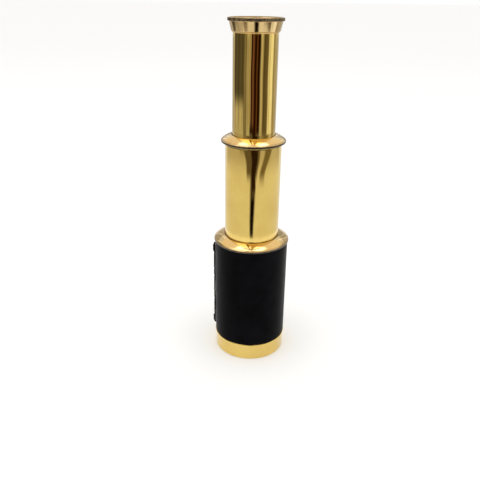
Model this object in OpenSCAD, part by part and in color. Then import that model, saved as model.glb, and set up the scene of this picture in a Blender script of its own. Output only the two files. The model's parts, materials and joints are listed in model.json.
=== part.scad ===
// Three-section pocket telescope in brass, with a stitched leather sleeve round its barrel.
// Drawn out to its stops, standing on its objective rim. Z is the optical axis and z = 0 is the rim's face.
// Lengths are in millimetres. The tubes are worked out from the inside outwards: eyepiece draw, middle draw,
// barrel. Each takes its bore from what slides in it, so the fits hold when a size changes.

/* [Eyepiece draw] */
// Outside diameter of the eyepiece draw tube
eyepiece_draw_d = 18.5; // [15:0.1:21.8]
// Wall of the eyepiece draw tube
eyepiece_wall = 0.5; // [0.4:0.1:0.8]
// How far the eyepiece draw slides
eyepiece_travel = 40.6; // [33:0.1:50]

/* [Middle draw] */
// Wall of the middle draw tube
middle_wall = 0.6; // [0.4:0.1:1]
// How far the middle draw slides
middle_travel = 42; // [35:0.1:60]

/* [Barrel] */
// Wall of the barrel tube
barrel_wall = 0.8; // [0.5:0.1:1.5]
// Thickness of the leather
leather_t = 0.9; // [0.6:0.1:1.5]
// Direction of the sleeve's seam, round the axis from +X
seam_angle = 181; // [0:1:359]
// Width of the gap between the leather's two edges
seam_gap = 0.3; // [0.1:0.1:0.8]
// Number of stitches between the knots, every other one twice as long
stitches = 5; // [2:1:8]
// Thickness of the thread
thread_d = 0.8; // [0.4:0.1:0.9]
// Thickness of the knot at each end of the seam
knot_d = 1.2; // [1:0.05:1.4]

/* [Objective] */
// Height of the brass ring of the objective cell
ring_h = 8; // [7.6:0.1:14]
// Wall of that ring outside the barrel tube
ring_wall = 0.6; // [0.5:0.05:2]
// Diameter of the objective lenses
objective_d = 24; // [18:0.5:26]
// Focal length of the objective
objective_f = 80; // [75:1:140]
// Depth of the dished recess in front of the lens
dish_h = 1.5; // [1:0.1:1.8]
// Thickness of the crown lens at its edge
crown_edge = 0.7; // [0.5:0.1:1]
// Thickness of the flint lens on the axis
flint_core = 0.85; // [0.6:0.05:1.2]

/* [Collars] */
// Height of the barrel collar
barrel_collar_h = 2.95; // [2.2:0.05:6]
// How far the barrel collar stands out past the leather
barrel_collar_lip = 0.4; // [0.1:0.05:1.5]
// Height of the middle collar
middle_collar_h = 4.0; // [3.5:0.1:8]
// How far the middle collar stands out past its tube
middle_collar_lip = 1.8; // [1:0.05:4]
// Height of the straight edge of both collars
collar_edge = 0.6; // [0.2:0.05:1]
// Wall of the guide sleeves
guide_wall = 0.8; // [0.5:0.05:1.2]
// Wall of the collars' threaded skirts
skirt_wall = 0.8; // [0.6:0.05:1.5]
// Open space between sleeve and skirt in the barrel collar
barrel_collar_space = 1.2; // [0.2:0.02:4]
// The same space in the middle collar
middle_collar_space = 0.74; // [0.2:0.02:2]
// How far sleeve and skirt reach down inside the barrel
barrel_guide_l = 4.6; // [4:0.1:9]
// How far sleeve and skirt reach down inside the middle draw
middle_guide_l = 3.0; // [2.5:0.1:7]
// Height of the stop rings on the draws' lower ends
stop_ring_h = 2.2; // [1.5:0.1:4]

/* [Eye cup] */
// Diameter over the knurled rim
eye_cup_d = 22.9; // [21.5:0.1:30]
// Height of the knurled rim
rim_h = 1.4; // [1:0.1:3]
// Height of the flared cone
cone_h = 3.75; // [3:0.05:8]
// Number of knurls
knurls = 80; // [40:1:90]
// Diameter of the eye hole
eye_hole_d = 6.4; // [4:0.1:8]

/* [Optics of the draw] */
// Focal length of the erector's front lens
erector_front_f = 16; // [14:1:30]
// Focal length of the erector's rear lens
erector_rear_f = 20; // [14:1:30]
// Focal length of the field lens
field_f = 30; // [20:1:50]
// Focal length of the eye lens
eye_f = 18; // [15:1:30]
// Length of the erector cell
erector_l = 20; // [16:0.5:20]
// Length of the eyepiece cell
eyepiece_cell_l = 13; // [10:0.5:13]
// Wall of both cells
cell_wall = 1.05; // [0.8:0.05:1.3]
// Hole in the erector stop
erector_stop_d = 3.6; // [2:0.1:6]
// Hole in the field stop
field_stop_d = 10; // [6:0.1:12]

/* [Fits] */
// Radial clearance between a draw tube and its guide sleeve
slide_gap = 0.06; // [0.03:0.01:0.1]
// Radial clearance between a stop ring and the tube it runs in
stop_gap = 0.08; // [0.06:0.01:0.12]
// Radial clearance of the screwed fits
thread_gap = 0.05; // [0.02:0.01:0.1]
// Radial clearance round the draws in the collars' mouths
mouth_gap = 0.22; // [0.15:0.01:0.4]
// Space left between pieces that stop each other
end_gap = 0.1; // [0.05:0.01:0.2]

/* [Hidden] */
$fn = 96;
sphere_fn = 360;
over = 1; // how far a cutting shape reaches past what it cuts

// Radii, from the inside outwards
eyepiece_r = eyepiece_draw_d / 2;
eyepiece_bore_r = eyepiece_r - eyepiece_wall;
middle_guide_r = eyepiece_r + slide_gap;
middle_bore_r = middle_guide_r + guide_wall + middle_collar_space + skirt_wall + thread_gap;
middle_r = middle_bore_r + middle_wall;
barrel_guide_r = middle_r + slide_gap;
barrel_bore_r = barrel_guide_r + guide_wall + barrel_collar_space + skirt_wall + thread_gap;
barrel_r = barrel_bore_r + barrel_wall;
leather_r = barrel_r + leather_t;
ring_r = barrel_r + thread_gap + ring_wall;

// Objective cell: seat, lenses and screwed ring, from the rim upwards
objective_r = objective_d / 2;
seat_land = 0.9;
seat_w = 0.7;
seat_r = objective_r - seat_w;
lens_gap = 0.05;
achromat_curve = 0.4478; // radius of the crown lens over the focal length of the pair
lens_ring_h = 1.2;
ring_stand = 0.2;
seat_z = dish_h + seat_land;
crown_rad = achromat_curve * objective_f;
crown_z = seat_z + drop(crown_rad, objective_r, seat_r);
flint_z = crown_z + crown_edge;
flint_h = sag(crown_rad, objective_r) + flint_core;
objective_ring_z = flint_z + flint_h;
cell_skirt_z = objective_ring_z + lens_ring_h - ring_stand;
lip_h = 0.5;
lip_out = 0.08;
lip_r = leather_r + lip_out;
tube_seat_z = 3.6;
dish_rim = 1.6;
ring_chamfer = 0.25;

// Levels along the axis, drawn out. The barrel is as long as the slid-in draws need above the objective.
closed_gap = 0.64;
stop_l = stop_ring_h + end_gap;
middle_tube_l = barrel_collar_h + middle_travel + 2 * end_gap + barrel_guide_l + stop_l;
overhang = max(0, eyepiece_travel + middle_guide_l + stop_l - middle_tube_l);
barrel_top = cell_skirt_z + closed_gap + overhang + stop_l + middle_travel + barrel_guide_l;
barrel_mouth = barrel_top + barrel_collar_h;
middle_base = barrel_top - barrel_guide_l - stop_l;
middle_top = middle_base + middle_tube_l;
middle_mouth = middle_top + middle_collar_h;
eyepiece_base = middle_top - middle_guide_l - stop_l;
eyepiece_top = middle_mouth + eyepiece_travel + 2 * end_gap;

// Collars
sleeve_seat_h = 1.4;
middle_under_h = 1;
arc_steps = 16;
dome_power = 1.5;
slits = 4;
slit_w = 0.4;
slit_share = 0.6;

// Cells and lenses inside the eyepiece draw
cell_r = eyepiece_bore_r - thread_gap;
lens_bore_r = cell_r - cell_wall;
lens_r = lens_bore_r - lens_gap;
shoulder_w = 0.55;
shoulder_r = lens_bore_r - shoulder_w;
lens_edge = 0.9;
ring_sink = 0.3;
stop_t = 0.5;
erector_inset = 1;
erector_z = eyepiece_base + erector_inset;
eye_spigot_l = 4;
spigot_gap = 0.2;
eyepiece_cell_z = eyepiece_top - eye_spigot_l - spigot_gap - eyepiece_cell_l;
field_stop_depth = 8.5;
field_stop_z = eyepiece_cell_z + field_stop_depth;

// Eye cup
eye_cup_r = eye_cup_d / 2;
eye_hole_r = eye_hole_d / 2;
bead_h = 0.5;
bead_out = 0.3;
cone_foot_out = 0.6;
rim_overhang = 0.6;
rim_land = 0.9;
knurl_depth = 0.22;
bead_r = eyepiece_r + bead_out;
cone_base_r = eyepiece_r + cone_foot_out;
cone_top_r = eye_cup_r - rim_overhang;
rim_z = eyepiece_top + bead_h + cone_h;
cup_top = rim_z + rim_h;
cup_mouth_r = eye_cup_r - rim_land;
eye_seat_in = 0.2;
eye_lens_gap = 0.25;
eye_hole_wall = 1;
eye_seat_z = eyepiece_top + eye_seat_in;
cavity_z = eye_seat_z + sag(curve(eye_f), shoulder_r) + eye_lens_gap;
dish_z = cavity_z + eye_hole_wall;

// Seam of the leather
seam_margin = 2.4;
knot_l = 5.4;
knot_core_l = 3.4;
stitch_gap = 0.5;
stitch_slant = 8;

// Radius of both faces of a symmetrical lens of focal length f, in crown glass of index 1.517
function curve(f) = 2 * (1.517 - 1) * f;
// Height of a spherical cap of radius rad that is 2 r wide
function sag(rad, r) = rad - sqrt(rad * rad - r * r);
// How far a face's edge at r lies behind the circle at a that a seat touches
function drop(rad, r, a) = sag(rad, r) - sag(rad, a);
// Depth of a lens seat: screwed ring, lens and the two faces' drops
function seat_depth(f) = ring_sink + lens_ring_h + lens_edge + 2 * drop(curve(f), lens_r, shoulder_r);
// Points of an elliptical arc about (x, z) with half axes a and b
function arc(x, z, a, b, from, to) =
  [for (i = [0:arc_steps]) let (t = from + (to - from) * i / arc_steps) [x + a * cos(t), z + b * sin(t)]];

// Points of a collar's dome, which is fuller than a cone and flatter than a quarter ellipse
function dome(x, z, a, b) =
  [for (i = [0:arc_steps])
    let (t = 90 * i / arc_steps)
      [x + a * cos(t) ^ dome_power, z + b * sin(t) ^ dome_power]];

module tube(r, bore, from, to) {
  translate([0, 0, from])
    difference() {
      cylinder(r = r, h = to - from);
      translate([0, 0, -over])
        cylinder(r = bore, h = to - from + 2 * over);
    }
}

// Symmetrical lens: its edge runs from z = 0 up, and its faces bulge past both ends
module lens(r, edge, rad) {
  s = sag(rad, r);
  intersection() {
    translate([0, 0, -s])
      cylinder(r = r, h = edge + 2 * s);
    translate([0, 0, rad - s])
      sphere(r = rad, $fn = sphere_fn);
    translate([0, 0, edge + s - rad])
      sphere(r = rad, $fn = sphere_fn);
  }
}

// Split tube whose fingers spring against the draw inside it
module guide_sleeve(bore, from, to) {
  cut = (to - from) * slit_share;
  difference() {
    tube(bore + guide_wall, bore, from, to);
    for (i = [0:slits - 1])
      rotate([0, 0, (i + 0.5) * 360 / slits])
        translate([0, -slit_w / 2, from - over])
          cube([bore + guide_wall + over, slit_w, cut + over]);
  }
}

// Domed flange with a threaded skirt below it, and a seat for the guide sleeve in its mouth
module collar(draw_r, guide_r, skirt_r, seat_r, edge_r, under_h, base, h, reach) {
  mouth_r = draw_r + mouth_gap;
  dome_z = base + under_h + collar_edge;
  rotate_extrude()
    polygon(concat(
      [
        [mouth_r, base + sleeve_seat_h], [guide_r, base + sleeve_seat_h], [guide_r, base],
        [skirt_r - skirt_wall, base], [skirt_r - skirt_wall, base - reach], [skirt_r, base - reach],
        [skirt_r, base], [seat_r, base], [edge_r, base + under_h]
      ],
      dome(mouth_r, dome_z, edge_r - mouth_r, base + h - dome_z)
    ));
}

// Cartridge with a lens seat at its lower end, and at its upper end too where rear_f is not 0
module cell(l, front_f, rear_f) {
  difference() {
    cylinder(r = cell_r, h = l);
    translate([0, 0, -over])
      cylinder(r = shoulder_r, h = l + 2 * over);
    translate([0, 0, -over])
      cylinder(r = lens_bore_r, h = over + seat_depth(front_f));
    if (rear_f > 0)
      translate([0, 0, l - seat_depth(rear_f)])
        cylinder(r = lens_bore_r, h = seat_depth(rear_f) + over);
  }
}

// Screwed ring in a cell's lower end
module lens_ring() {
  tube(lens_bore_r, shoulder_r, ring_sink, ring_sink + lens_ring_h);
}

// Lens in a cell's lower end
module seated_lens(f) {
  translate([0, 0, ring_sink + lens_ring_h + drop(curve(f), lens_r, shoulder_r)])
    lens(lens_r, lens_edge, curve(f));
}

// What is fitted to a cell's upper end is the lower end's turned over
module upper_end(z) {
  translate([0, 0, z])
    mirror([0, 0, 1])
      children();
}

module objective_cell() {
  skirt_r = barrel_bore_r - thread_gap;
  bore_r = objective_r + lens_gap;
  groove_r = barrel_r + thread_gap;
  color("#c8963c")
    rotate_extrude()
      polygon(concat(
        [[ring_r - dish_rim, 0], [ring_r - ring_chamfer, 0], [ring_r, ring_chamfer]],
        arc(ring_r, ring_h - lip_h / 2, lip_r - ring_r, lip_h / 2, -90, 90),
        [
          [groove_r, ring_h], [groove_r, tube_seat_z], [skirt_r, tube_seat_z], [skirt_r, cell_skirt_z],
          [bore_r, cell_skirt_z], [bore_r, seat_z], [seat_r, seat_z], [seat_r, dish_h]
        ]
      ));
}

module objective_crown_lens() {
  color("#cfe4ea", 0.5)
    translate([0, 0, crown_z])
      lens(objective_r, crown_edge, crown_rad);
}

module objective_flint_lens() {
  color("#dfe6cf", 0.5)
    difference() {
      translate([0, 0, flint_z])
        cylinder(r = objective_r, h = flint_h);
      translate([0, 0, flint_z + sag(crown_rad, objective_r) - crown_rad])
        sphere(r = crown_rad, $fn = sphere_fn);
    }
}

module objective_retaining_ring() {
  color("#8a6a30")
    tube(objective_r + lens_gap, seat_r, objective_ring_z, objective_ring_z + lens_ring_h);
}

module barrel_tube() {
  color("#c8a04a")
    tube(barrel_r, barrel_bore_r, tube_seat_z + end_gap, barrel_top);
}

module leather_sleeve() {
  color("#141416")
    difference() {
      tube(leather_r, barrel_r, ring_h, barrel_top);
      rotate([0, 0, seam_angle])
        translate([barrel_r / 2, -seam_gap / 2, ring_h - over])
          cube([leather_r, seam_gap, barrel_top - ring_h + 2 * over]);
    }
}

// Thread of thickness d along the seam, round at both ends and turned by slant across the seam
module stitch(d, from, to, slant) {
  run = to - from - d;
  translate([leather_r + d / 2, 0, (from + to) / 2])
    rotate([slant, 0, 0])
      translate([0, 0, -run / 2]) {
        cylinder(r = d / 2, h = run);
        sphere(r = d / 2);
        translate([0, 0, run])
          sphere(r = d / 2);
      }
}

// Stitch under a thicker core, which stands for the turns of the knot
module knot(from) {
  middle = from + knot_l / 2;
  stitch(thread_d, from, from + knot_l, 0);
  stitch(knot_d, middle - knot_core_l / 2, middle + knot_core_l / 2, 0);
}

module seam_thread() {
  low = ring_h + seam_margin;
  high = barrel_top - seam_margin - knot_l;
  units = stitches + floor((stitches + 1) / 2);
  unit = (high - low - knot_l) / units;
  color("#0a0a0b")
    rotate([0, 0, seam_angle]) {
      knot(low);
      knot(high);
      for (i = [0:stitches - 1])
        let (start = low + knot_l + unit * (i + floor((i + 1) / 2)), share = 2 - i % 2)
          stitch(thread_d, start + stitch_gap / 2, start + unit * share - stitch_gap / 2,
            stitch_slant * (2 * share - 3));
    }
}

module barrel_collar() {
  edge_r = leather_r + barrel_collar_lip;
  color("#e0b060")
    collar(middle_r, barrel_guide_r + guide_wall, barrel_bore_r - thread_gap, edge_r, edge_r, 0,
      barrel_top, barrel_collar_h, barrel_guide_l);
}

module barrel_guide_sleeve() {
  color("#b08840")
    guide_sleeve(barrel_guide_r, barrel_top - barrel_guide_l, barrel_top + sleeve_seat_h);
}

module middle_draw_tube() {
  color("#d8b050")
    tube(middle_r, middle_bore_r, middle_base, middle_top);
}

module middle_stop_ring() {
  color("#a88038")
    tube(barrel_bore_r - stop_gap, middle_r, middle_base, middle_base + stop_ring_h);
}

module middle_collar() {
  color("#e0b060")
    collar(eyepiece_r, middle_guide_r + guide_wall, middle_bore_r - thread_gap, middle_r,
      middle_r + middle_collar_lip, middle_under_h, middle_top, middle_collar_h, middle_guide_l);
}

module middle_guide_sleeve() {
  color("#b08840")
    guide_sleeve(middle_guide_r, middle_top - middle_guide_l, middle_top + sleeve_seat_h);
}

module eyepiece_draw_tube() {
  color("#caa248")
    tube(eyepiece_r, eyepiece_bore_r, eyepiece_base, eyepiece_top);
}

module eyepiece_stop_ring() {
  color("#a88038")
    tube(middle_bore_r - stop_gap, eyepiece_r, eyepiece_base, eyepiece_base + stop_ring_h);
}

module erector_cell() {
  color("#7c6a48")
    translate([0, 0, erector_z])
      cell(erector_l, erector_front_f, erector_rear_f);
}

module erector_front_ring() {
  color("#8a6a30")
    translate([0, 0, erector_z])
      lens_ring();
}

module erector_front_lens() {
  color("#cfe4ea", 0.5)
    translate([0, 0, erector_z])
      seated_lens(erector_front_f);
}

module erector_stop() {
  color("#26262a")
    tube(shoulder_r, erector_stop_d / 2, erector_z + erector_l / 2, erector_z + erector_l / 2 + stop_t);
}

module erector_rear_lens() {
  color("#cfe4ea", 0.5)
    upper_end(erector_z + erector_l)
      seated_lens(erector_rear_f);
}

module erector_rear_ring() {
  color("#8a6a30")
    upper_end(erector_z + erector_l)
      lens_ring();
}

module eyepiece_cell() {
  color("#7c6a48")
    translate([0, 0, eyepiece_cell_z])
      cell(eyepiece_cell_l, field_f, 0);
}

module field_lens_ring() {
  color("#8a6a30")
    translate([0, 0, eyepiece_cell_z])
      lens_ring();
}

module field_lens() {
  color("#cfe4ea", 0.5)
    translate([0, 0, eyepiece_cell_z])
      seated_lens(field_f);
}

module field_stop() {
  color("#26262a")
    tube(shoulder_r, field_stop_d / 2, field_stop_z, field_stop_z + stop_t);
}

// The eye lens sits against the cup's shoulder from below
module eye_lens_ring() {
  color("#8a6a30")
    translate([0, 0, eye_seat_z - seat_depth(eye_f)])
      lens_ring();
}

module eye_lens() {
  color("#cfe4ea", 0.5)
    translate([0, 0, eye_seat_z - seat_depth(eye_f)])
      seated_lens(eye_f);
}

// Fine straight knurls round the rim, as one toothed ring
module knurled_ring(r, bore, from, to) {
  tooth = [for (i = [0:2 * knurls - 1]) let (a = 180 * i / knurls, d = r - knurl_depth * (i % 2))
    [d * cos(a), d * sin(a)]];
  translate([0, 0, from])
    linear_extrude(to - from)
      difference() {
        polygon(tooth);
        circle(r = bore);
      }
}

module eye_cup() {
  rim_r = eye_cup_r - knurl_depth - 0.1;
  rim_chamfer = 0.15;
  rim_lap = 0.3;
  dish_step = 0.2;
  color("#d09a50") {
    rotate_extrude()
      polygon(concat(
        [
          [lens_bore_r, eyepiece_top - eye_spigot_l], [cell_r, eyepiece_top - eye_spigot_l],
          [cell_r, eyepiece_top]
        ],
        arc(bead_r - bead_h / 2, eyepiece_top + bead_h / 2, bead_h / 2, bead_h / 2, -90, 90),
        [
          [cone_base_r, eyepiece_top + bead_h], [cone_top_r, rim_z], [rim_r, rim_z],
          [rim_r, cup_top - rim_chamfer], [rim_r - rim_chamfer, cup_top], [cup_mouth_r, cup_top]
        ],
        arc(eye_hole_r + dish_step, cup_top, cup_mouth_r - eye_hole_r - dish_step, cup_top - dish_z, 0, -90),
        [
          [eye_hole_r, dish_z], [eye_hole_r, cavity_z], [shoulder_r, cavity_z], [shoulder_r, eye_seat_z],
          [lens_bore_r, eye_seat_z]
        ]
      ));
    knurled_ring(eye_cup_r, rim_r - rim_lap, rim_z + rim_chamfer / 2, cup_top - rim_chamfer);
  }
}

objective_cell();
objective_crown_lens();
objective_flint_lens();
objective_retaining_ring();
barrel_tube();
leather_sleeve();
seam_thread();
barrel_collar();
barrel_guide_sleeve();
middle_draw_tube();
middle_stop_ring();
middle_collar();
middle_guide_sleeve();
eyepiece_draw_tube();
eyepiece_stop_ring();
erector_cell();
erector_front_ring();
erector_front_lens();
erector_stop();
erector_rear_lens();
erector_rear_ring();
eyepiece_cell();
field_lens_ring();
field_lens();
field_stop();
eye_lens_ring();
eye_lens();
eye_cup();
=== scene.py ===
# %% [markdown]
# # A brass pocket telescope with three sections
#
# The CAD model holds every size of this telescope: a barrel covered with leather, two draw tubes that slide
# out of it, the collars that guide them, and the lenses inside. This lesson gives those parts their looks.
# All lengths are in metres, in the CAD model's own frame: +Z is the optical axis, and the telescope stands on
# its objective end with both draws pulled out.

# %% Load the frame
import json
import math
import bmesh
import bpy
import numpy as np
from mathutils import Matrix, Vector


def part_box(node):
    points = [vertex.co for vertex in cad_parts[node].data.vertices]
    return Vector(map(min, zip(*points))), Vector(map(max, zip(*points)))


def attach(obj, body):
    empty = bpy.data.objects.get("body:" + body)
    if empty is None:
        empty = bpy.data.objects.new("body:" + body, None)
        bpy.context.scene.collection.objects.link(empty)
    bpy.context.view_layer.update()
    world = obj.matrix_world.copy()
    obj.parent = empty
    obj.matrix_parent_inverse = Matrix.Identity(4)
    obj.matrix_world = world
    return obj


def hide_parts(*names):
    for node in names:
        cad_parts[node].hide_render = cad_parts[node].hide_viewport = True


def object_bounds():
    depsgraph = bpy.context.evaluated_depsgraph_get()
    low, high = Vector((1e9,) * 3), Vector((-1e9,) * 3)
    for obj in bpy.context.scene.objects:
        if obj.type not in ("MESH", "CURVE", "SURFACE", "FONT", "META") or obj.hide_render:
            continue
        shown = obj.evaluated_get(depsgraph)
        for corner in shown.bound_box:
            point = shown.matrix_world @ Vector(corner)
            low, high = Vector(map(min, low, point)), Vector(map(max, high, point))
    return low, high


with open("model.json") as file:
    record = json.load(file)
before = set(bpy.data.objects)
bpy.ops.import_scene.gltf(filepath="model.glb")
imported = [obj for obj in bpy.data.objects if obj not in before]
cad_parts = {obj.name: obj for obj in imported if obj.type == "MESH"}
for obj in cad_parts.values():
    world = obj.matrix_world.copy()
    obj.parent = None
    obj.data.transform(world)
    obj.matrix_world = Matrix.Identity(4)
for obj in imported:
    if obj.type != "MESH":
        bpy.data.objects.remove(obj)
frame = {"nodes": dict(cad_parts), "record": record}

MM = 0.001
MICRON = 0.001 * MM
cad_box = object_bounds()
record = frame["record"]
finish_of = {part["node"]: part["material_slot"] for part in record["subparts"]}
body_of = {node: body for body, nodes in record["behaviour"]["bodies"].items() for node in nodes}
print("CAD box, mm:", [[round(x / MM, 2) for x in corner] for corner in cad_box])

# %% [markdown]
# ## Camera
# The telescope is looked down on from just above its eye cup and from close by, so its tubes taper towards
# the floor. A long lens from far away would lose that, so the camera stands only 226 mm from the axis.

# %% Camera
CAMERA_AT = Vector((0, -226.49, 159.21)) * MM
CAMERA_DOWN = math.radians(24.57)
CAMERA_LEFT = math.radians(1.34)
CAMERA_ROLL = math.radians(0.72)
camera = bpy.data.objects.new("camera", bpy.data.cameras.new("camera"))
camera.data.sensor_width = 36
camera.data.lens = 39.75
camera.data.clip_start, camera.data.clip_end = 10 * MM, 20
aim = Matrix.Rotation(CAMERA_LEFT, 4, "Z") @ Matrix.Rotation(math.pi / 2 - CAMERA_DOWN, 4, "X")
camera.matrix_world = Matrix.Translation(CAMERA_AT) @ aim @ Matrix.Rotation(CAMERA_ROLL, 4, "Z")
bpy.context.scene.collection.objects.link(camera)
bpy.context.scene.camera = camera
print("camera height over the eye cup, mm:", round((CAMERA_AT.z - cad_box[1].z) / MM, 1))

# %% [markdown]
# ## Colours and nodes
# A hex colour is what a screen shows, but a shader works with linear light, so one function turns the first
# into the second. Another adds a node with its settings and what feeds it, so that a material reads as a
# list. A third starts a material, and every pattern in it is measured in real millimetres on the piece.


# %% Helpers for materials
def linear(code):
    """Hex sRGB to linear: c / 12.92 for dark values, ((c + 0.055) / 1.055) ^ 2.4 above them."""
    c = np.array([int(code[i:i + 2], 16) for i in (1, 3, 5)]) / 255
    return (*np.where(c <= 0.04045, c / 12.92, ((c + 0.055) / 1.055) ** 2.4), 1.0)


def add(tree, kind, feeds=None, **settings):
    """Adds a shader node. settings are its properties, and feeds are its inputs: a value or a socket."""
    made = tree.nodes.new("ShaderNode" + kind)
    for name, value in settings.items():
        setattr(made, name, value)
    for name, value in (feeds or {}).items():
        if isinstance(value, bpy.types.NodeSocket):
            tree.links.new(value, made.inputs[name])
        else:
            made.inputs[name].default_value = value
    return made


def new_material(name):
    """An empty material, its node tree, and the place of a point on the piece in metres."""
    material = bpy.data.materials.new(name)
    material.use_nodes = True
    material.node_tree.nodes.clear()
    return material, material.node_tree, add(material.node_tree, "TexCoord").outputs["Object"]


# %% [markdown]
# ## Brass
# Brass is about two thirds copper and one third zinc, a metal with a yellow mirror. A drawn tube is polished
# on a buffing wheel while it turns. What is left is a faint ripple along the tube, hairlines round it, and
# clouds of thin tarnish, and a clear lacquer keeps it bright. Brown tarnish stays where the wheel doesn't
# reach: in knurls and in bores. It is an oxide, so it is rougher and less of a metal. The same brown, rougher
# and less of a metal in the same way, is also painted shade under the collars' edges and in the bores. The
# pieces carry tarnish and painted shade together as one attribute, from 0 to 1. The real hairlines are a few
# hundredths of a millimetre apart. They are drawn 0.3 mm apart, or none would show.


# %% Brass
def brass(name, bright, dull, roughness, ripple, hairline, clouds, lacquer):
    """Buffed brass. ripple and hairline are heights in microns. clouds is how far the colour goes from bright
    to dull in clouds 13 mm wide, and lacquer is the weight of the clear coat."""
    material, tree, place = new_material(name)
    cloud = add(tree, "TexNoise", {
        "Vector": place, "Scale": 1 / (13 * MM), "Detail": 5.0, "Roughness": 0.62})
    film = add(tree, "MapRange", {0: cloud.outputs["Fac"], 1: 0.42, 2: 0.72, 4: clouds})
    hued = add(tree, "Mix", {0: film.outputs[0], 6: linear(bright), 7: linear(dull)}, data_type="RGBA")
    # This attribute holds tarnish together with painted shade: where it is high, the brass is painted dark
    # brown.
    oxide_and_shade_attribute = add(tree, "Attribute", attribute_name="oxide_grime_and_shade")
    speck = add(tree, "TexNoise", {"Vector": place, "Scale": 1 / (0.9 * MM), "Detail": 4.0})
    patchy = add(tree, "MapRange", {0: speck.outputs["Fac"], 1: 0.3, 2: 0.7, 3: 0.85, 4: 1.15})
    oxide_and_shade_share = add(tree, "Math", {0: oxide_and_shade_attribute.outputs["Fac"], 1: patchy.outputs[0]},
                operation="MULTIPLY", use_clamp=True)
    # The dark brown #2f1d0e is tarnish, and it is also painted shade under the collars' edges and in the
    # bores.
    colour = add(tree, "Mix", {0: oxide_and_shade_share.outputs[0], 6: hued.outputs[2], 7: linear("#2f1d0e")},
                 data_type="RGBA")
    along = add(tree, "Mapping", {"Vector": place, "Scale": (1, 1, 0.28)})
    wave = add(tree, "TexNoise", {"Vector": along.outputs[0], "Scale": 1 / (8 * MM), "Detail": 1.5})
    around = add(tree, "Mapping", {"Vector": place, "Scale": (0.1, 0.1, 1)})
    line = add(tree, "TexNoise", {"Vector": around.outputs[0], "Scale": 1 / (0.3 * MM), "Detail": 3.0})
    grain = add(tree, "MapRange", {
        0: line.outputs["Fac"], 1: 0.3, 2: 0.7, 3: roughness * 0.7, 4: roughness * 1.5})
    filmed = add(tree, "Math", {0: film.outputs[0], 1: 0.1, 2: grain.outputs[0]}, operation="MULTIPLY_ADD")
    rough = add(tree, "Math", {0: oxide_and_shade_share.outputs[0], 1: 0.34, 2: filmed.outputs[0]}, operation="MULTIPLY_ADD")
    metal = add(tree, "Math", {0: oxide_and_shade_share.outputs[0], 1: -0.6, 2: 1.0}, operation="MULTIPLY_ADD")
    waves = add(tree, "Bump", {"Height": wave.outputs["Fac"], "Distance": ripple * MICRON})
    lines = add(tree, "Bump", {
        "Height": line.outputs["Fac"], "Distance": hairline * MICRON, "Normal": waves.outputs[0]})
    shader = add(tree, "BsdfPrincipled", {
        "Base Color": colour.outputs[2], "Metallic": metal.outputs[0], "Roughness": rough.outputs[0],
        "Normal": lines.outputs[0], "Coat Weight": lacquer, "Coat Roughness": 0.03})
    add(tree, "OutputMaterial", {"Surface": shader.outputs[0]})
    return material


finishes = {
    "polished_brass": brass("buffed_and_lacquered_brass", "#e9cb72", "#cfa957", 0.045, 20, 0.6, 0.4, 0.5),
    "lacquered_brass": brass("turned_and_lacquered_brass", "#e8ca8e", "#d2a868", 0.07, 14, 0.4, 0.6, 0.6),
    "turned_brass": brass("brass_as_turned", "#c9a55c", "#957337", 0.26, 6, 3.0, 0.8, 0.0),
    "blackened_brass": brass("chemically_blackened_brass", "#2b2620", "#171411", 0.5, 5, 3.0, 1.0, 0.0),
}
print("brass finishes:", ", ".join(finishes))

# %% [markdown]
# ## Leather and thread
# The barrel is covered with calf leather, dyed black, pressed smooth and glazed. The glaze fills most of the
# grain, so it shows a soft grey sheen at its sides, over creases about half a millimetre apart. At its two
# ends the dye has rubbed thin. The thread is linen pulled through black wax, which leaves a dull shine on its
# plies.


# %% Leather and thread
def leather(name, deep, worn):
    """Glazed calf: the creases are the edges of 0.6 mm cells bent by noise, and the pores are 0.2 mm noise.
    The attribute named rubbed, from 0 to 1, brings out the worn colour."""
    material, tree, place = new_material(name)
    bend = add(tree, "TexNoise", {"Vector": place, "Scale": 1 / (1.6 * MM), "Detail": 2.0})
    pull = add(tree, "VectorMath", {0: bend.outputs["Color"], "Scale": 0.5 * MM}, operation="SCALE")
    moved = add(tree, "VectorMath", {0: place, 1: pull.outputs[0]})
    cell = add(tree, "TexVoronoi", {"Vector": moved.outputs[0], "Scale": 1 / (0.6 * MM)},
               feature="DISTANCE_TO_EDGE")
    crease = add(tree, "MapRange", {0: cell.outputs["Distance"], 1: 0.0, 2: 0.14})
    pore = add(tree, "TexNoise", {"Vector": place, "Scale": 1 / (0.2 * MM), "Detail": 3.0})
    relief = add(tree, "Math", {0: pore.outputs["Fac"], 1: 0.5, 2: crease.outputs[0]},
                 operation="MULTIPLY_ADD")
    cloud = add(tree, "TexNoise", {"Vector": place, "Scale": 1 / (10 * MM), "Detail": 5.0})
    patch = add(tree, "MapRange", {0: cloud.outputs["Fac"], 1: 0.35, 2: 0.7})
    rubbed = add(tree, "Attribute", attribute_name="rubbed")
    share = add(tree, "Math", {0: rubbed.outputs["Fac"], 1: patch.outputs[0]}, operation="MAXIMUM")
    colour = add(tree, "Mix", {0: share.outputs[0], 6: linear(deep), 7: linear(worn)}, data_type="RGBA")
    gloss = add(tree, "MapRange", {0: patch.outputs[0], 3: 0.3, 4: 0.4})
    bump = add(tree, "Bump", {"Height": relief.outputs[0], "Distance": 0.014 * MM, "Strength": 0.8})
    shader = add(tree, "BsdfPrincipled", {
        "Base Color": colour.outputs[2], "Roughness": gloss.outputs[0], "Normal": bump.outputs[0],
        "IOR": 1.45, "Specular IOR Level": 0.03})
    add(tree, "OutputMaterial", {"Surface": shader.outputs[0]})
    return material


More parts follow.
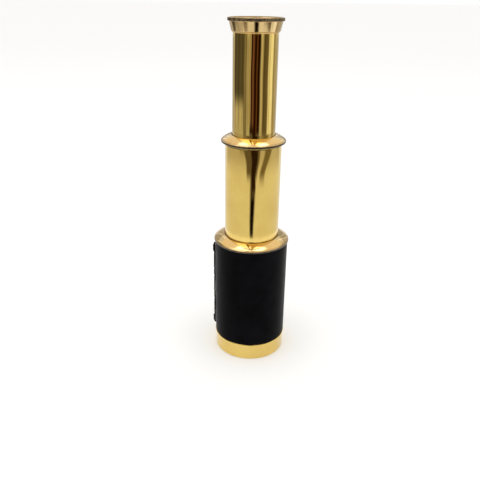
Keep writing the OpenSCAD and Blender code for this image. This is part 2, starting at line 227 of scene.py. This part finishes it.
def waxed_thread(name, deep, fluff):
    """Waxed linen: a fuzz of fibres 0.08 mm wide, lighter in clouds where the wax has rubbed off."""
    material, tree, place = new_material(name)
    fibre = add(tree, "TexNoise", {"Vector": place, "Scale": 1 / (0.08 * MM), "Detail": 2.0})
    cloud = add(tree, "TexNoise", {"Vector": place, "Scale": 1 / (1.5 * MM), "Detail": 3.0})
    colour = add(tree, "Mix", {0: cloud.outputs["Fac"], 6: linear(deep), 7: linear(fluff)}, data_type="RGBA")
    gloss = add(tree, "MapRange", {0: cloud.outputs["Fac"], 3: 0.42, 4: 0.6})
    bump = add(tree, "Bump", {"Height": fibre.outputs["Fac"], "Distance": 0.02 * MM})
    shader = add(tree, "BsdfPrincipled", {
        "Base Color": colour.outputs[2], "Roughness": gloss.outputs[0], "Normal": bump.outputs[0],
        "Specular IOR Level": 0.12})
    add(tree, "OutputMaterial", {"Surface": shader.outputs[0]})
    return material


finishes["black_leather"] = leather("glazed_black_calf", "#030304", "#0b0a0e")
finishes["waxed_thread"] = waxed_thread("waxed_black_linen", "#040405", "#0c0c0e")

# %% [markdown]
# ## Optical glass
# The lenses are ground and polished glass. Crown glass bends light less than flint, and has a hint of green
# where flint has a hint of yellow. They are clear solids, so light is bent by their real surfaces, and a
# breath of dust is all that shows on them.


# %% Glass
def glass(name, tint, ior):
    """Polished glass, whose roughness rises from 0 to 0.02 in clouds of dust 3 mm wide."""
    material, tree, place = new_material(name)
    dust = add(tree, "TexNoise", {"Vector": place, "Scale": 1 / (3 * MM), "Detail": 5.0})
    rough = add(tree, "MapRange", {0: dust.outputs["Fac"], 1: 0.5, 2: 0.9, 3: 0.0, 4: 0.02})
    shader = add(tree, "BsdfPrincipled", {
        "Base Color": linear(tint), "Roughness": rough.outputs[0], "IOR": ior, "Transmission Weight": 1.0})
    add(tree, "OutputMaterial", {"Surface": shader.outputs[0]})
    return material


finishes["optical_glass"] = glass("crown_glass", "#f2faf6", 1.52)
flint_glass = glass("flint_glass", "#f8f8ea", 1.62)

# %% [markdown]
# ## Reading a turned part's outline
# Nearly every part here is turned on a lathe, so its shape is one outline carried round the axis. The CAD
# mesh already holds that outline: a half plane through the axis cuts each triangle in a short line, and the
# lines joined end to end are the outline. Taking it from the mesh keeps every looks piece on the CAD sizes.


# %% The outline of a turned part
def outline_of(name, angle=0.002):
    """(radius, height) points round a turned CAD part, counter-clockwise.
    A triangle's side a-b crosses the cutting plane at a + (b - a) da / (da - db), where da and db are the
    distances of its ends from the plane."""
    mesh = frame["nodes"][name].data
    mesh.calc_loop_triangles()
    places = np.zeros(3 * len(mesh.vertices), np.float32)
    mesh.vertices.foreach_get("co", places)
    corners = np.zeros(3 * len(mesh.loop_triangles), np.int32)
    mesh.loop_triangles.foreach_get("vertices", corners)
    a = places.astype(float).reshape(-1, 3)[corners.reshape(-1, 3)]
    b = np.roll(a, -1, axis=1)
    outwards = np.array([math.cos(angle), math.sin(angle), 0])
    across = np.array([-math.sin(angle), math.cos(angle), 0])
    da, db = a @ across, b @ across
    crosses = (da > 0) != (db > 0)
    points = a + (b - a) * (da / np.where(crosses, da - db, 1))[..., None]
    cuts = points[crosses].reshape(-1, 2, 3)
    cuts = np.stack([cuts @ outwards, cuts[..., 2]], axis=-1)
    real = np.abs(cuts[:, 0] - cuts[:, 1]).sum(axis=1) > 1e-4 * MM
    return without_midpoints(joined(cuts[real & (cuts[:, :, 0].min(axis=1) > 0)]))


def joined(cuts):
    """Short lines in order: the next line is always the one with an end nearest to the last point."""
    path = [cuts[0, 0], cuts[0, 1]]
    cuts = cuts[1:]
    while len(cuts):
        gaps = np.abs(cuts - path[-1]).sum(axis=-1)
        line, end = np.unravel_index(gaps.argmin(), gaps.shape)
        path.append(cuts[line, 1 - end])
        cuts = np.delete(cuts, line, axis=0)
    return np.array(path[:-1])


def turns_of(points):
    """How far the outline turns at each point, in radians, + to the left."""
    before, after = points - np.roll(points, 1, axis=0), np.roll(points, -1, axis=0) - points
    cross = before[:, 0] * after[:, 1] - before[:, 1] * after[:, 0]
    return np.arctan2(cross, (before * after).sum(axis=1))


def without_midpoints(points, least=math.radians(0.6)):
    """Drops the points in the middle of straight runs, and puts the outline counter-clockwise."""
    for _ in range(3):
        points = points[np.abs(turns_of(points)) > least]
    return points if turns_of(points).sum() > 0 else points[::-1]


# %% [markdown]
# A lathe tool leaves no edge quite sharp, and polishing rounds it further. A rounded edge catches a line of
# light, and that line is what makes a solid look made. So each corner of an outline becomes a small curve,
# with one more point on each side that keeps the flat faces flat when the mesh is shaded smooth.


# %% Rounded corners
def rounded(points, radius, sharp=math.radians(16), steps=5):
    """Each corner P becomes the curve (1-s)^2 A + 2 s (1-s) P + s^2 B, with A and B on its two sides."""
    back, ahead = np.roll(points, 1, axis=0) - points, np.roll(points, -1, axis=0) - points
    to_back, to_ahead = np.linalg.norm(back, axis=1), np.linalg.norm(ahead, axis=1)
    bend = np.abs(turns_of(points))
    reach = np.minimum(radius * np.tan(bend / 2), 0.3 * np.minimum(to_back, to_ahead))
    a = points + back * (reach / to_back)[:, None]
    b = points + ahead * (reach / to_ahead)[:, None]
    s = np.linspace(0, 1, steps)[:, None, None]
    curve = (1 - s) ** 2 * a + 2 * s * (1 - s) * points + s ** 2 * b
    held = np.concatenate([(1.5 * a - 0.5 * points)[None], curve, (1.5 * b - 0.5 * points)[None]])
    return np.vstack([held[:, i] if bend[i] > sharp else points[i:i + 1] for i in range(len(points))])


def normals_of(points):
    """The outline's outward directions: each side turned a quarter to the right, averaged at its ends."""
    side = np.roll(points, -1, axis=0) - points
    right = np.stack([side[:, 1], -side[:, 0]], axis=1) / np.linalg.norm(side, axis=1)[:, None]
    mean = right + np.roll(right, 1, axis=0)
    return mean / np.linalg.norm(mean, axis=1)[:, None]


# %% [markdown]
# Every surface from here on is a grid of points, whether it is turned, wrapped or laid along a path. So one
# function joins the neighbours in a grid into faces, one turns an outline, and one makes the Blender object,
# with its finish and the CAD part that it stands for.


# %% Grid, lathe and piece
def grid_faces(rows, columns, rows_close=True, columns_close=True):
    """Faces (i, j), (i+1, j), (i+1, j+1), (i, j+1) of a grid, which may close on itself either way."""
    row_faces, column_faces = rows - (not rows_close), columns - (not columns_close)
    i, j = np.meshgrid(np.arange(row_faces), np.arange(column_faces), indexing="ij")
    i1, j1 = (i + 1) % rows, (j + 1) % columns
    corners = [i * columns + j, i1 * columns + j, i1 * columns + j1, i * columns + j1]
    return np.stack(corners, axis=-1).reshape(-1, 4)


def lathe(points, turns, cut=None):
    """Places (r cos t, r sin t, z) for t round the axis, less what cut(t, r, z) takes from the radius."""
    t = np.arange(turns)[:, None] * (2 * math.pi / turns)
    r, z = (column * np.ones((turns, 1)) for column in points.T)
    if cut is not None:
        r = r - cut(t, r, z)
    return np.stack([r * np.cos(t), r * np.sin(t), z], axis=-1).reshape(-1, 3), grid_faces(turns, len(points))


def piece(name, places, faces, slot, body, stands_for, material=None, mark=None, merge=False):
    """A smooth mesh that rides on a body, wears a slot's finish and stands for CAD nodes.
    mark is the name and the values of an attribute that its material reads."""
    mesh = bpy.data.meshes.new(name)
    mesh.from_pydata(places, [], faces.tolist())
    if mark is not None:
        layer = mesh.attributes.new(mark[0], "FLOAT", "POINT")
        layer.data.foreach_set("value", mark[1].astype(np.float32).ravel())
    if merge:
        joiner = bmesh.new()
        joiner.from_mesh(mesh)
        bmesh.ops.remove_doubles(joiner, verts=joiner.verts, dist=1e-3 * MM)
        joiner.to_mesh(mesh)
        joiner.free()
    mesh.shade_smooth()
    mesh.materials.append(material or finishes[slot])
    made = bpy.data.objects.new(name, mesh)
    bpy.context.scene.collection.objects.link(made)
    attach(made, body)
    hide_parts(*stands_for)
    print(f"{name}: {len(mesh.vertices)} points, {len(mesh.polygons)} faces")
    return made


# %% [markdown]
# ## Turned brass parts
# Rings, tubes, cells and collars all go through the same three steps: read the outline, round it, turn it.
# Bores are left as the tool cut them, so they carry some tarnish, and the same brown there also stands in for
# the shade inside them, as painted shade. The collars' outer edges and undersides are painted dark brown, and
# the band just inside the rim a lighter brown, as painted shade, which draws the thin dark line below each
# collar. The eye cup's rim is knurled by a wheel of straight teeth, and dirt from fingers stays in it. Its
# top face is made as dark as the knurled band.

# %% Turned parts
TURNS = 256
EDGE_RADIUS = 0.15 * MM
KNURLS = 80
STEPS_A_TOOTH = 6
KNURL_DEPTH = 0.22 * MM
RIM_BAND = 0.12 * MM
COLLAR_BAND = 0.7 * MM
GRIP_BAND, GRIP_TOP = 0.3 * MM, 0.1 * MM
# How brown each place is: tarnish and painted shade in bores, painted shade near a collar's rim, and the eye
# cup's knurled band and top face.
BORE_OXIDE_AND_SHADE, COLLAR_RIM_SHADE, ON_GRIP = 0.45, 0.35, 0.9
cup_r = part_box("eye_cup")[1].x


def knurl(t, r, z):
    """Depth of the V grooves: each tooth is a peak of |((K t / 2 pi) mod 1) * 2 - 1|, on the rim only."""
    groove = 1 - np.abs(np.mod(KNURLS * t / (2 * math.pi), 1) * 2 - 1)
    return np.where(r > cup_r - RIM_BAND, KNURL_DEPTH * groove, 0)


def oxide_grime_and_shade_of(name, points):
    """0 on buffed faces; in bores, where the outline faces the axis, oxide and painted shade; up to 1 on a
    collar's rim, as painted shade.
    """
    r, z = points.T
    # Faces that look towards the axis are bores: their brown is tarnish, and it also stands in for the shade
    # inside them, as painted shade.
    inward = normals_of(points)[:, 0] < -0.3
    share = np.where(inward, BORE_OXIDE_AND_SHADE, 0.0)
    # Painted shade: a collar's band near the rim, its outer edge and its underside are darkened, which draws
    # the dark line under each collar.
    if name.endswith("collar"):
        outer = r > r.max() - RIM_BAND
        share = np.where(r > r.max() - COLLAR_BAND, COLLAR_RIM_SHADE, share)
        share = np.where(outer | (z < z[outer].min() + EDGE_RADIUS), 1.0, share)
    if name == "eye_cup":
        # The knurled band keeps finger dirt, and the top face is made just as dark.
        share = np.where((r > cup_r - GRIP_BAND) | (z > z.max() - GRIP_TOP), ON_GRIP, share)
    return share


for name, slot in finish_of.items():
    if "brass" not in slot or name.endswith("guide_sleeve"):
        continue
    outline = rounded(outline_of(name), EDGE_RADIUS)
    knurled = name == "eye_cup"
    turns = KNURLS * STEPS_A_TOOTH if knurled else TURNS
    places, faces = lathe(outline, turns, knurl if knurled else None)
    # This share is tarnish together with painted shade, which the brass material turns dark brown.
    share = oxide_grime_and_shade_of(name, outline) * np.ones((turns, 1))
    piece(name + "_turned", places, faces, slot, body_of[name], [name], mark=("oxide_grime_and_shade", share))

# %% [markdown]
# ## Lenses
# Each face of a lens is part of a sphere. A cap that rises s over a radius r belongs to a sphere of radius
# (r^2 + s^2) / 2s. The flint lens's lower face is hollow and has the crown lens's curve, because the two are
# ground to lie against each other.


# %% Lenses
def edge_of(name):
    """Radius of a lens, and the lowest and highest points of its cylindrical edge."""
    mesh = frame["nodes"][name].data
    places = np.zeros(3 * len(mesh.vertices), np.float32)
    mesh.vertices.foreach_get("co", places)
    places = places.reshape(-1, 3)
    r = np.hypot(places[:, 0], places[:, 1])
    rim = places[r > r.max() - 0.02 * MM, 2]
    return float(r.max()), float(rim.min()), float(rim.max())


def cap(r, radius, edge_z, axis_z):
    """Height at r of a spherical face: axis_z + sign(s) (B - sqrt(B^2 - r^2)), where s = edge_z - axis_z and
    B is the radius of its sphere."""
    s = edge_z - axis_z
    if abs(s) < 1e-3 * MM:
        return np.full(r.shape, axis_z)
    ball = (radius ** 2 + s ** 2) / (2 * abs(s))
    return axis_z + math.copysign(1, s) * (ball - np.sqrt(ball ** 2 - r ** 2))


RINGS = 40
LENS_TURNS = 128
for name, slot in finish_of.items():
    if slot != "optical_glass":
        continue
    radius, edge_low, edge_high = edge_of(name)
    low, high = (corner.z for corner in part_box(name))
    hollow = name == "objective_flint_lens"
    if hollow:
        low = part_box("objective_crown_lens")[1].z
    r = np.linspace(0, radius, RINGS)
    under, above = cap(r, radius, edge_low, low), cap(r, radius, edge_high, high)
    outline = np.vstack([np.stack([r, under], 1), np.stack([r, above], 1)[::-1]])
    places, faces = lathe(outline, LENS_TURNS)
    piece(name + "_ground", places, faces, slot, body_of[name], [name],
          material=flint_glass if hollow else None, merge=True)

# %% [markdown]
# ## Leather sleeve
# The leather is one strip wrapped round the barrel, with its two edges butted and sewn together. A tube would
# have no seam, so it is a sheet with a thickness instead: an inner grid that lies on the barrel and an outer
# one that comes down to it in a round edge on all four sides. The thread pulls the leather down where it goes
# through, and the sheet is never quite even.

# %% Sizes of the seam
tube_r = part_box("barrel_tube")[1].x
sleeve_low, sleeve_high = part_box("leather_sleeve")
leather_r = sleeve_high.x
sleeve_bottom, sleeve_top = sleeve_low.z, sleeve_high.z
SEAM_AT = math.radians(181)
SEAM_GAP = 0.02 * MM
SKIVE = 0.35 * MM
width = 2 * math.pi * leather_r - SEAM_GAP
print("leather strip, mm:", round(width / MM, 1), "by", round((sleeve_top - sleeve_bottom) / MM, 1))


def share_of(distance, reach):
    """Quarter round: sqrt(1 - (1 - d / reach)^2), from 0 on an edge to 1 at reach inside it."""
    return np.sqrt(1 - (1 - np.clip(distance / reach, 0, 1)) ** 2)


# %% [markdown]
# The thread runs from knot to knot in stitches that are long and short by turns and lean to one side and the
# other. Where one ends, it goes down through a hole that both edges share. So the holes are worked out first,
# because the leather is dented round each of them.

# %% Where the stitches are
thread_low, thread_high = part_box("seam_thread")
THREAD_R = 0.4 * MM
KNOT_L = 5.4 * MM
STITCHES = 5
STITCH_GAP = 0.5 * MM
LEAN = math.radians(8)
units = STITCHES + (STITCHES + 1) // 2
first = thread_low.z + KNOT_L
unit = (thread_high.z - KNOT_L - first) / units
share = 2 - np.arange(STITCHES) % 2
start = first + unit * np.concatenate([[0], np.cumsum(share)[:-1]])
stitches = np.stack([start + STITCH_GAP / 2, start + unit * share - STITCH_GAP / 2], axis=1)
knots = np.array([[thread_low.z, first], [thread_high.z - KNOT_L, thread_high.z]])
holes = np.concatenate([stitches, knots]).ravel()
print("stitches, mm:", (stitches / MM).round(1).tolist())


# %% [markdown]
# The thickness at each point of the strip is the full thickness, less slow waves and the dents, and it ends
# in a quarter round at each edge.

# %% Thickness of the leather
UNEVEN, WAVE_A, WAVE_B = 0.03 * MM, 6 * MM, 9 * MM
DENT, DENT_L, DENT_W = 0.22 * MM, 0.8 * MM, 0.9 * MM
PULL = 0.05 * MM


def leather_thickness(along, z):
    """(T - U (1 + sin sin) - (D sum e^-(dz/L)^2 + P) e^-(d/W)^2) times the quarter rounds of all four edges.
    T is the full thickness, U a slow wave, D a dent round each hole and P the pull of the thread along the
    seam. dz is the height from a hole and d the distance from the seam."""
    full = leather_r - tube_r
    from_seam = np.minimum(along, width - along)
    from_end = np.minimum(z - sleeve_bottom, sleeve_top - z)
    edges = share_of(from_seam, SKIVE) * share_of(from_end, SKIVE)
    turn = along / leather_r
    uneven = UNEVEN * (1 + np.sin(3 * turn + z / WAVE_A) * np.sin(z / WAVE_B - 2 * turn))
    apart = np.abs(z[..., None] - holes) / DENT_L
    dent = (DENT * np.exp(-apart ** 2).sum(axis=-1) + PULL) * np.exp(-(from_seam / DENT_W) ** 2)
    return (full - uneven - dent) * edges


# %% [markdown]
# The grid is closer near the seam and the ends, where the leather curves most.

# %% Leather sleeve
COLUMNS, ROWS = 300, 150
SEAM_CLOSER, END_CLOSER = 0.9, 0.2
RUBBED, RUBBED_L = 0.5, 0.6 * MM
sway = np.linspace(0, 2 * math.pi, COLUMNS)
along = width * (sway - SEAM_CLOSER * np.sin(sway)) / (2 * math.pi)
rise = np.linspace(0, math.pi, ROWS)
spread = (1 - END_CLOSER) * rise / math.pi + END_CLOSER * (1 - np.cos(rise)) / 2
z = sleeve_bottom + (sleeve_top - sleeve_bottom) * spread
along, z = np.meshgrid(along, z, indexing="ij")
angle = SEAM_AT + (along + SEAM_GAP / 2) / leather_r
outer = tube_r + leather_thickness(along, z)
sheets = [np.stack([r * np.cos(angle), r * np.sin(angle), z], axis=-1).reshape(-1, 3)
          for r in (outer, np.full(outer.shape, tube_r))]
faces = grid_faces(COLUMNS, ROWS, False, False)
near_edge = np.minimum(z - sleeve_bottom, sleeve_top - z)
rubbed = np.tile((RUBBED * np.exp(-near_edge / RUBBED_L)).ravel(), 2)
both = np.vstack([faces, faces[:, ::-1] + outer.size])
piece("leather_sleeve_sewn", np.vstack(sheets), both, "black_leather", body_of["leather_sleeve"],
      ["leather_sleeve"], mark=("rubbed", rubbed), merge=True)

# %% [markdown]
# ## Seam thread
# Sewing thread is three plies twisted together, so its cross-section has three lobes that turn as they go
# along. Each stitch is that section carried along a path that dips into the leather at both ends. A knot is
# the thread wound tightly round itself, so its path is a coil. All the lengths are one piece, as the thread
# is.


# %% Cord and its paths
LOBE = 0.12
DIP, DIP_L = 0.1 * MM, 0.5 * MM
KNOT_R = 0.6 * MM


def cord(path, side, radius, lay, lobes=3, sides=24):
    """A closed tube: radius times 0.88 + 0.12 |cos(lobes (a - 2 pi s / lay) / 2)|, closed by round ends.
    a is the angle round the path, s the length along it, and side any direction that the path never takes."""
    step = np.linalg.norm(np.diff(path, axis=0), axis=1)
    s = np.concatenate([[0], np.cumsum(step)])[:, None]
    ahead = np.gradient(path, axis=0)
    ahead /= np.linalg.norm(ahead, axis=1)[:, None]
    over = side - (ahead @ side)[:, None] * ahead
    over /= np.linalg.norm(over, axis=1)[:, None]
    beside = np.cross(ahead, over)
    a = np.arange(sides) * (2 * math.pi / sides)
    lobed = 1 - LOBE + LOBE * np.abs(np.cos(lobes * (a - 2 * math.pi * s / lay) / 2))
    r = (radius * lobed * share_of(np.minimum(s, s[-1] - s), radius))[..., None]
    spoke = np.cos(a)[:, None] * over[:, None] + np.sin(a)[:, None] * beside[:, None]
    places = path[:, None] + r * spoke
    return places.reshape(-1, 3), grid_faces(len(path), sides, rows_close=False)[:, ::-1]


def stitch_path(low, high, lean, lift, points=70):
    """(out, across, z): up the seam at an angle, falling through the leather in the last 0.5 mm."""
    z = np.linspace(low, high, points)
    dip = (lift + DIP) * (1 - share_of(np.minimum(z - low, high - z), DIP_L))
    across = (z - (low + high) / 2) * math.tan(lean)
    return np.stack([leather_r + lift - dip, across, z], axis=1)


def coil_path(low, high, around, rise, points_a_turn=28):
    """A helix of radius around, whose axis runs up the seam, with the knot lying on the leather."""
    turn = np.linspace(0, 2 * math.pi * (high - low) / rise, int((high - low) / rise * points_a_turn))
    out = leather_r + KNOT_R + around * np.cos(turn)
    return np.stack([out, around * np.sin(turn), low + rise * turn / (2 * math.pi)], axis=1)


# %% [markdown]
# Stitches lean to one side and the other by turns. The coil of a knot is drawn finer and in two plies, and it
# is wound round the end of the seam's own thread.

# %% Seam thread
PLY_LAY = 1.9 * MM
COIL_R = 0.2 * MM
COIL_LAY = 0.9 * MM
COIL_RISE = 0.42 * MM
KNOT_CORE_L = 3.4 * MM
OUT, UP = np.array([1.0, 0, 0]), np.array([0, 0, 1.0])
cords = [cord(stitch_path(low, high, LEAN if i % 2 else -LEAN, THREAD_R), OUT, THREAD_R, PLY_LAY)
         for i, (low, high) in enumerate(stitches)]
for low, high in knots:
    middle = (low + high) / 2
    ends = middle - KNOT_CORE_L / 2 + COIL_R, middle + KNOT_CORE_L / 2 - COIL_R
    coil = coil_path(*ends, KNOT_R - COIL_R, COIL_RISE)
    cords.append(cord(stitch_path(low, high, 0, THREAD_R), OUT, THREAD_R, PLY_LAY))
    cords.append(cord(coil, UP, COIL_R, COIL_LAY, lobes=2, sides=14))
counts = np.cumsum([0] + [len(places) for places, _ in cords])
places = np.vstack([places for places, _ in cords])
faces = np.vstack([faces + count for (_, faces), count in zip(cords, counts)])
cosine, sine = math.cos(SEAM_AT), math.sin(SEAM_AT)
places = places @ np.array([[cosine, sine, 0], [-sine, cosine, 0], [0, 0, 1]])
piece("seam_thread_twisted", places, faces, "waxed_thread", body_of["seam_thread"], ["seam_thread"],
      merge=True)

# %% [markdown]
# ## CAD parts that stay
# The guide sleeves are slit so that they spring, so one outline can't make them. They sit inside the collars
# and their CAD shape is already right, so they only need their finish.

# %% Finish of the CAD parts that stay
for name, node in frame["nodes"].items():
    if not node.hide_render:
        node.data.materials.clear()
        node.data.materials.append(finishes[finish_of[name]])
        print("stays as CAD:", name)

# %% [markdown]
# ## Floor and lights
# The telescope stands on white paper that runs on to the horizon. Light comes evenly from all round it, and
# three softboxes add a little shape and a soft shadow where it stands.

# %% Floor
FLOOR = 40.0
corners = [(-FLOOR, -FLOOR, 0), (FLOOR, -FLOOR, 0), (FLOOR, FLOOR, 0), (-FLOOR, FLOOR, 0)]
floor = bpy.data.objects.new("floor", bpy.data.meshes.new("floor"))
floor.data.from_pydata(corners, [], [(0, 1, 2, 3)])
paper, tree, _ = new_material("white_paper")
sheet = add(tree, "BsdfPrincipled", {
    "Base Color": linear("#fbfaf8"), "Roughness": 0.9, "Specular IOR Level": 0.1})
add(tree, "OutputMaterial", {"Surface": sheet.outputs[0]})
floor.data.materials.append(paper)
bpy.context.scene.collection.objects.link(floor)

# %% [markdown]
# The softboxes are a metre or less across and stand about a metre away, above and at both sides. The white
# world gives the even light.


# %% Lights
def softbox(name, at, width, height, power):
    """A glowing rectangle that faces the middle of the telescope."""
    lamp = bpy.data.lights.new(name, "AREA")
    lamp.shape = "RECTANGLE"
    lamp.size, lamp.size_y = width, height
    lamp.energy = power
    made = bpy.data.objects.new(name, lamp)
    made.location = at
    middle = Vector((0, 0, cad_box[1][2] / 2))
    made.rotation_euler = (middle - made.location).to_track_quat("-Z", "Y").to_euler()
    bpy.context.scene.collection.objects.link(made)


softbox("softbox_above", Vector((0.0, -0.15, 0.9)), 1.0, 1.0, 1.6)
softbox("softbox_left", Vector((-0.9, -0.4, 0.5)), 0.7, 0.9, 0.9)
softbox("softbox_right", Vector((0.9, -0.3, 0.5)), 0.7, 0.9, 0.8)
world = bpy.data.worlds.new("studio")
bpy.context.scene.world = world
world.use_nodes = True
world.node_tree.nodes["Background"].inputs["Color"].default_value = (1, 1, 1, 1)
world.node_tree.nodes["Background"].inputs["Strength"].default_value = 1.0
bpy.context.scene.view_settings.view_transform = "Standard"

# %% [markdown]
# ## What the brass reflects
# A mirror shows only what stands round it. Polished tubes mirror the whole room, with the person behind the
# camera, doorways and bright walls, all drawn out into streaks. So a room of glowing walls with a domed
# ceiling stands 150 mm off the axis. Only reflections see it, so it casts no light or shadow on the floor.
# Everything in the room has a direction from the front, a height, soft edges, a colour and a brightness.

# %% Things in the room
ROOM_R = 150 * MM
WALL_H = 170 * MM
WALL, CEILING = ("#fbf9f2", 0.9), ("#fff2d8", 1.0)
STANDS = [
    # name, degrees from the front, half width, soft edge, lowest and highest mm, soft edge, colour, strength
    ("dim_room", 0, 180, 1, 76, 134, 8, "#fffaf0", 0.52),
    ("curtain", -84, 34, 12, 102, 190, 14, "#fff4e0", 0.1),
    ("doorway", 52, 13, 7, 76, 190, 10, "#ffe8c0", 0.14),
    ("shelf", -48, 6, 5, 70, 190, 12, "#fff0d8", 0.22),
    ("window", 87, 13, 6, 60, 150, 12, "#ffffff", 0.95),
    ("wall_edge", 112, 5, 8, 74, 190, 12, "#fff4e0", 0.4),
    ("legs", 1, 5, 10, -60, 72, 10, "#6a5020", 0.04),
    ("coat", 2, 21, 8, 76, 190, 7, "#8a4a20", 0.09),
    ("sleeve", -7, 3, 4, 84, 190, 8, "#e0a090", 0.26),
    ("cuff", -24, 2, 5, 84, 190, 8, "#fff0d8", 0.45),
    ("button", 11, 1, 3, 78, 190, 8, "#c08858", 0.22),
    ("lamp", 37, 2, 4, 74, 190, 12, "#fff4e8", 0.5),
]
LAMPS = [
    # the same, with the lowest and highest in degrees above the top of the wall
    ("skylight", 0, 180, 1, 58, 90, 14, "#fffefa", 3.0),
    ("window_top", -62, 24, 20, 30, 90, 14, "#fffdf6", 2.2),
    ("beam", 16, 14, 10, 36, 90, 10, "#f6dcac", 0.95),
    ("joist", -22, 4, 5, 30, 90, 8, "#c09048", 0.5),
    ("far_beam", 176, 22, 14, 50, 90, 10, "#f6dcac", 0.95),
]
ARMS = [
    # the same as STANDS
    ("arms", -4, 28, 14, 78, 120, 8, "#ffe8c8", 0.14),
    ("hand", 6, 10, 7, 70, 120, 9, "#c08850", 0.05),
    ("elbow", 64, 10, 16, 78, 120, 10, "#ffe8b0", 0.2),
]

# %% [markdown]
# The light from any direction follows from those tables: the things are laid over each other in their order,
# each with soft edges.


# %% Light from the room
def window(x, middle, half, soft):
    """1 inside middle +- half, falling to 0 over the soft edge outside it, as 3 s^2 - 2 s^3."""
    s = np.clip((half + soft - np.abs(x - middle)) / soft, 0, 1)
    return s * s * (3 - 2 * s)


def cover(azimuth, level, at, half, soft, low, high, fade):
    """How much of a thing is seen in each direction: its window across times its window up."""
    return window(azimuth, at, half, soft) * window(level, (low + high) / 2, (high - low) / 2, fade)


def lit(things, base, azimuth, level):
    """Light from each direction: each thing covers what is behind it with its colour times its strength."""
    colour, bright = base
    light = np.array(linear(colour)[:3]) * bright * np.ones((*azimuth.shape, 1))
    for _, *where, colour, bright in things:
        seen = cover(azimuth, level, *where)[..., None]
        light += (np.array(linear(colour)[:3]) * bright - light) * seen
    return light


# %% [markdown]
# The walls carry the light of each direction at each point of their grid. A drawn tube isn't perfectly
# straight, so the streaks sway by a degree or two on their way up, and they close in near the floor. Fine
# streaks, which are sums of sines, lie between them.

# %% Walls and ceiling
ROUND, WALL_STEPS, DOME_STEPS = 720, 90, 40
SQUEEZE, SQUEEZE_H = 0.6, 14 * MM
SLOW_SWAY, QUICK_SWAY = 17 * MM, 5.5 * MM
STREAK = 0.36
azimuth = np.linspace(-180, 180, ROUND, endpoint=False)[:, None]
rise = np.linspace(0, 90, DOME_STEPS)
up = np.concatenate([np.linspace(0, WALL_H, WALL_STEPS), WALL_H + ROOM_R * np.sin(np.radians(rise[1:]))])
away = ROOM_R * np.concatenate([np.ones(WALL_STEPS), np.cos(np.radians(rise[1:]))])
t = np.radians(azimuth)
places = np.stack([away * np.sin(t), -away * np.cos(t), up + 0 * t], axis=-1).reshape(-1, 3)
squeezed = azimuth * (1 + SQUEEZE * np.exp(-up / SQUEEZE_H))
swayed = squeezed + 1.3 * np.sin(up / SLOW_SWAY + 1) + 0.5 * np.sin(up / QUICK_SWAY)
fine = np.sin(swayed * 0.42) * np.sin(swayed * 0.19 + 2) + 0.6 * np.sin(swayed * 0.9 + 1)
streaks = 1 + STREAK * fine * window(up / MM, 130, 45, 12)
walls = lit(STANDS, WALL, swayed, up / MM + 0 * t) * streaks[..., None]
dome = lit(LAMPS, CEILING, azimuth + 0 * rise[1:], rise[1:] + 0 * t)
light = np.concatenate([walls[:, :WALL_STEPS], dome], axis=1)
print("brightest and dimmest point of the room:", light.max().round(2), light.min().round(3))

# %% [markdown]
# Those points become a mesh whose material glows with their light. Where a mesh isn't opaque, what stands
# behind it shows through.


# %% The room
def glowing(name, places, faces, light, opaque):
    """A mesh that glows with the light of its points, lets light through where it isn't opaque, and is only
    ever seen as a reflection."""
    made = bpy.data.objects.new(name, bpy.data.meshes.new(name))
    made.data.from_pydata(places, [], faces.tolist())
    made.data.attributes.new("glow", "FLOAT_VECTOR", "POINT").data.foreach_set("vector", light.ravel())
    made.data.attributes.new("opaque", "FLOAT", "POINT").data.foreach_set("value", opaque.ravel())
    material, tree, _ = new_material(name)
    glow = add(tree, "Attribute", attribute_name="glow")
    seen = add(tree, "Emission", {"Color": glow.outputs["Vector"]})
    share = add(tree, "Attribute", attribute_name="opaque")
    clear = add(tree, "BsdfTransparent")
    mixed = add(tree, "MixShader", {0: share.outputs["Fac"], 1: clear.outputs[0], 2: seen.outputs[0]})
    add(tree, "OutputMaterial", {"Surface": mixed.outputs[0]})
    made.data.materials.append(material)
    bpy.context.scene.collection.objects.link(made)
    made.visible_camera = made.visible_diffuse = made.visible_shadow = made.visible_transmission = False


faces = grid_faces(ROUND, len(up), columns_close=False)
glowing("reflected_room", places, faces, light, np.ones(t.size * up.size))

# %% [markdown]
# The hands that hold the camera are much nearer than the room. Only the upper half of the middle tube sees
# them, so they stand 60 mm off the axis, in front of the walls. A half-clear veil at the top of them stands
# for their shade.

# %% Arms and hands
ARMS_R = 60 * MM
ARMS_LOW, ARMS_HIGH, ARMS_UP_STEPS = 60, 95, 60
SPREAD, SPREAD_STEPS = 120, 361
SHADE = ("#ffe8c8", 0.3)
VEIL = 0.5
up = np.linspace(ARMS_LOW, ARMS_HIGH, ARMS_UP_STEPS) * MM
azimuth = np.linspace(-SPREAD, SPREAD, SPREAD_STEPS)[:, None]
t = np.radians(azimuth)
places = np.stack([ARMS_R * np.sin(t) + 0 * up, -ARMS_R * np.cos(t) + 0 * up, up + 0 * t], axis=-1)
narrowed = azimuth * (1 + 0.9 * window(up / MM, 60, 12, 20)) + 2 * np.sin(up / (2.3 * MM))
level = up / MM + 0 * t
shade = lit(ARMS, SHADE, narrowed, level)
covers = [cover(narrowed, level, *where) for _, *where, _, _ in ARMS]
opaque = np.maximum(np.max(covers, axis=0), VEIL * window(level, 120, 34, 14))
faces = grid_faces(len(t), len(up), False, False)
glowing("reflected_arms", places.reshape(-1, 3), faces, shade, opaque)
